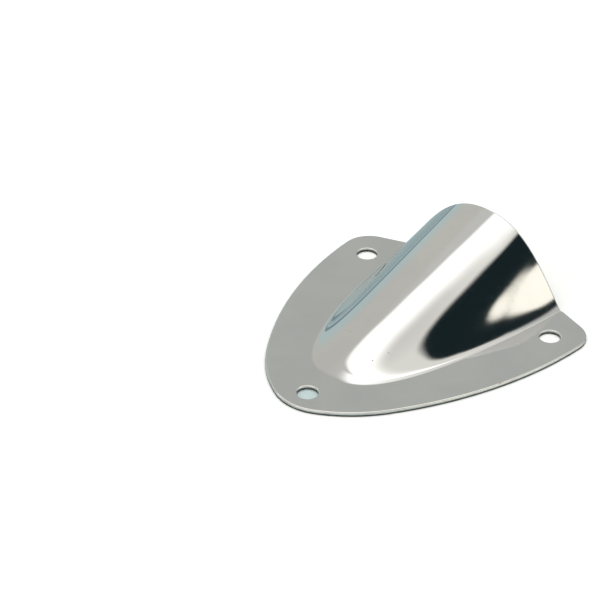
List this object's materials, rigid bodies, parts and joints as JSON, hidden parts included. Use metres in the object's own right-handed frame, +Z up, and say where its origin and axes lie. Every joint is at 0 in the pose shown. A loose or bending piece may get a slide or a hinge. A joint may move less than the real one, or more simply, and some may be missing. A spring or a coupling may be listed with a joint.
{
  "type": "clam-shell cable vent",
  "caption": "Pressed stainless clam-shell cover: a half-cone hood, open at its wide end, on a flat rounded flange with screw holes, for leading cables, hoses or air through a deck.",
  "frame": {"origin": "on the mounting plane, under the middle of the part's length and width", "axes": "+Z up out of the deck, -Y towards the rounded nose, +Y out of the open mouth, X = 0 the plane of symmetry"},
  "size_m": [0.059, 0.0592, 0.0169],
  "materials": {
    "polished_stainless": "near-mirror polish with faint polishing lines, small pits and a sheared, slightly rolled edge"
  },
  "bodies": {
    "root": {"vent_shell": "polished_stainless"}
  },
  "joints": []
}
